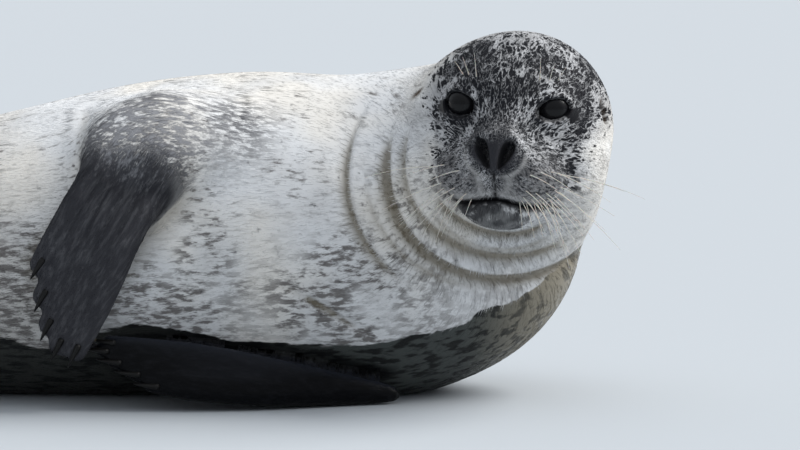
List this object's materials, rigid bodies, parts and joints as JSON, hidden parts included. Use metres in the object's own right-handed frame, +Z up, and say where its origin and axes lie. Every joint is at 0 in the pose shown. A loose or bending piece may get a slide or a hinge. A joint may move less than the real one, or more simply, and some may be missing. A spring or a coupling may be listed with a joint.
{
  "type": "harbor seal",
  "caption": "Still life-size model of a resting harbor seal, lying on its side with the head raised and turned, spotted pale coat, dark face and flippers.",
  "frame": {"origin": "on the floor under the chest, at the flat that the animal rests on", "axes": "+Z up, +X towards the breast along the trunk, -Y towards the belly side, where the face looks"},
  "size_m": [1.4886, 0.4519, 0.3801],
  "materials": {
    "coat": "short dense hair, matte where dry and darker with a wet gloss below, with slate face and flippers",
    "eye": "wet and glossy, nearly black",
    "claw": "dark horn with a slight sheen",
    "whisker": "pale translucent horn"
  },
  "bodies": {
    "root": {"head": "coat", "neck": "coat", "chest": "coat", "belly": "coat", "loins": "coat", "haunches": "coat", "tail": "coat", "foreflipper_right": "coat", "foreflipper_left": "coat", "hindflipper_left": "coat", "hindflipper_right": "coat", "eye_left": "eye", "eye_right": "eye", "foreflipper_right_claw_1": "claw", "foreflipper_right_claw_2": "claw", "foreflipper_right_claw_3": "claw", "foreflipper_right_claw_4": "claw", "foreflipper_right_claw_5": "claw", "foreflipper_left_claw_1": "claw", "foreflipper_left_claw_2": "claw", "foreflipper_left_claw_3": "claw", "foreflipper_left_claw_4": "claw", "foreflipper_left_claw_5": "claw", "hindflipper_left_claw_1": "claw", "hindflipper_left_claw_2": "claw", "hindflipper_left_claw_3": "claw", "hindflipper_left_claw_4": "claw", "hindflipper_left_claw_5": "claw", "hindflipper_right_claw_1": "claw", "hindflipper_right_claw_2": "claw", "hindflipper_right_claw_3": "claw", "hindflipper_right_claw_4": "claw", "hindflipper_right_claw_5": "claw"}
  },
  "joints": []
}
